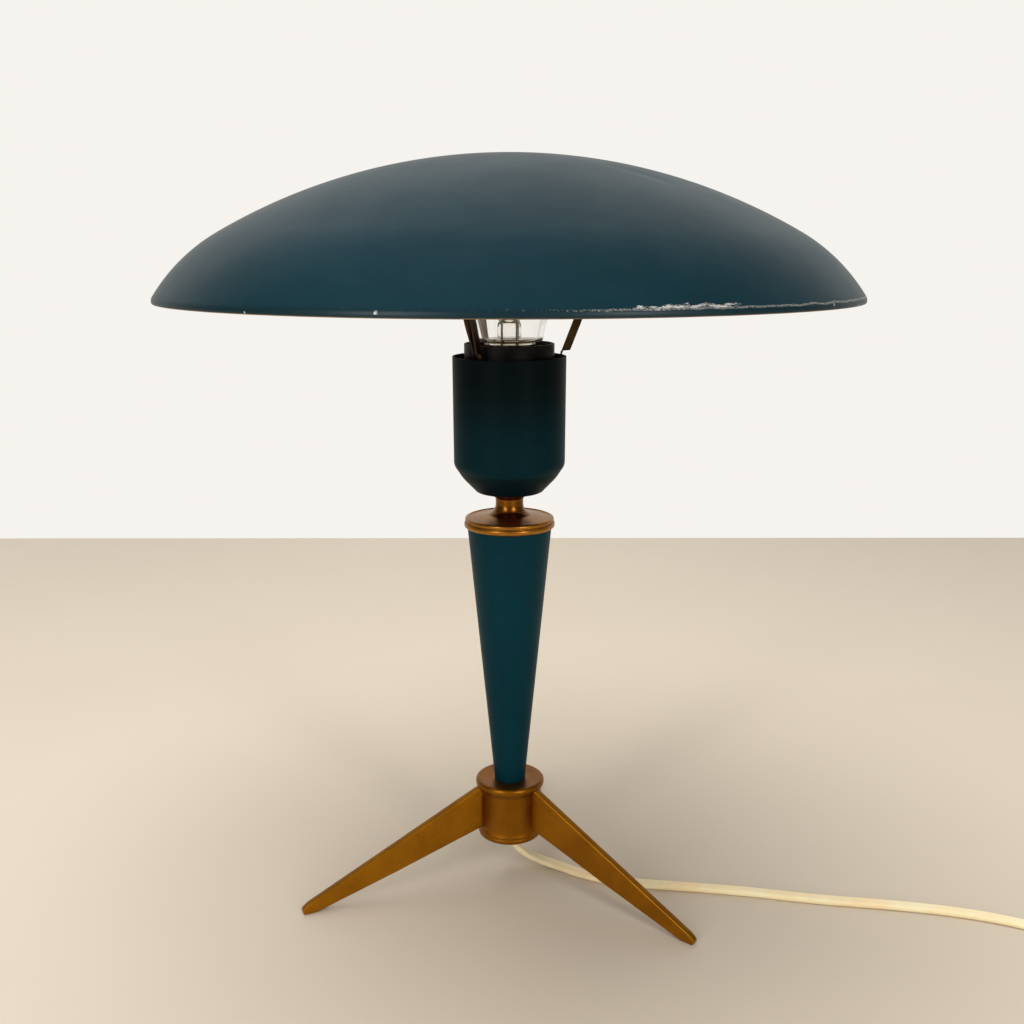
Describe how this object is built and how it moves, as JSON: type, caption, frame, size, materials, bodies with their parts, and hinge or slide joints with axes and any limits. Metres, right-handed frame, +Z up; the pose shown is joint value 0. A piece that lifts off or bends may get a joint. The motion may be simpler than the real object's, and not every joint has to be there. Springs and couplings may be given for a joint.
{
  "type": "tripod table lamp",
  "caption": "Table lamp with a spun metal dome shade on slim arms, a lampholder cup on a ball joint, a tapered stem and a tripod of blade legs, with flex, switch and plug.",
  "frame": {"origin": "on the stem's axis, at the height of the table that the legs stand on", "axes": "+Z up along the stem; the front faces -Y; +X is to the right seen from the front"},
  "size_m": [0.4976, 0.4795, 0.393],
  "materials": {
    "gold_brass": "warm gold-brown lacquered brass, satin, slightly worn edges",
    "cap_brass": "polished brass gone brown in places",
    "dark_brass": "old dark bronze-brown brass",
    "bright_brass": "bright brass",
    "teal_stem": "dark petrol-teal satin enamel on spun sheet, on the stem and the cup",
    "teal_shade": "spun aluminium, petrol-teal enamel outside and off-white inside",
    "steel": "zinc-plated steel",
    "black_bakelite": "black moulded phenolic",
    "fibre": "red-brown fibre friction ring",
    "rubber_cream": "soft ivory rubber",
    "flex_ivory": "ivory flat twin flex, satin",
    "ivory_plastic": "ivory moulded plastic",
    "core_blue": "insulated cores",
    "clear_glass": "clear thin glass",
    "mount_glass": "clear pressed glass",
    "wire": "nickel and tungsten wire",
    "black_glass": "black insulating glass",
    "tin": "soft solder",
    "pin_brass": "bright nickel-brass pins"
  },
  "bodies": {
    "stand": {"hub_body": "gold_brass", "hub_washer": "steel", "hub_nut": "steel", "hub_base_plate": "gold_brass", "cord_sleeve": "rubber_cream", "leg_left": "gold_brass", "leg_right": "gold_brass", "leg_back": "gold_brass", "leg_screws": "steel", "through_tube": "steel", "stem_cone": "teal_stem", "stem_cap": "cap_brass", "neck_ball": "cap_brass", "stem_flex": "flex_ivory", "cord_lead": "flex_ivory", "switch_base": "ivory_plastic", "switch_cover": "ivory_plastic", "switch_screws": "steel", "cord_tail": "flex_ivory", "cord_coil": "flex_ivory", "coil_tie": "ivory_plastic", "cord_end": "flex_ivory", "plug_body": "ivory_plastic", "plug_pins": "pin_brass"},
    "lower_ring": {"lower_seat": "fibre"},
    "upper_ring": {"upper_seat": "fibre"},
    "head": {"lampholder_cup": "teal_stem", "socket_ring": "bright_brass", "ball_clamp": "bright_brass", "clamp_screws": "steel", "holder_nipple": "steel", "holder_locknut": "steel", "holder_cap": "black_bakelite", "holder_sleeve": "black_bakelite", "holder_collar": "black_bakelite", "contact_block": "black_bakelite", "thread_shell": "bright_brass", "centre_contact": "bright_brass", "terminal_blocks": "bright_brass", "terminal_screws": "steel", "core_wires": "core_blue", "head_flex": "flex_ivory", "arm_ring": "dark_brass", "arm_rivets": "dark_brass", "shade_arm_right": "dark_brass", "shade_arm_back": "dark_brass", "shade_arm_left": "dark_brass", "shade": "teal_shade", "bulb_glass": "clear_glass", "bulb_mount": "mount_glass", "bulb_filament": "wire", "bulb_cap": "bright_brass", "bulb_insulator": "black_glass", "bulb_contact": "tin"},
    "rocker": {"switch_rocker": "ivory_plastic"}
  },
  "joints": [
    {"name": "head_turn", "type": "hinge", "parent": "stand", "child": "lower_ring", "pos_m": [0, 0, 0.2262], "axis": [0, 0, 1], "range_deg": [-170, 170]},
    {"name": "head_tilt_front_back", "type": "hinge", "parent": "lower_ring", "child": "upper_ring", "pos_m": [0, 0, 0.2262], "axis": [1, 0, 0], "range_deg": [-15, 15]},
    {"name": "head_tilt_sideways", "type": "hinge", "parent": "upper_ring", "child": "head", "pos_m": [0, 0, 0.2262], "axis": [0, 1, 0], "range_deg": [-15, 15]},
    {"name": "switch_rock", "type": "hinge", "parent": "stand", "child": "rocker", "pos_m": [0.31, -0.154, 0.0124], "axis": [1, 0, 0], "range_deg": [-16, 0]}
  ]
}
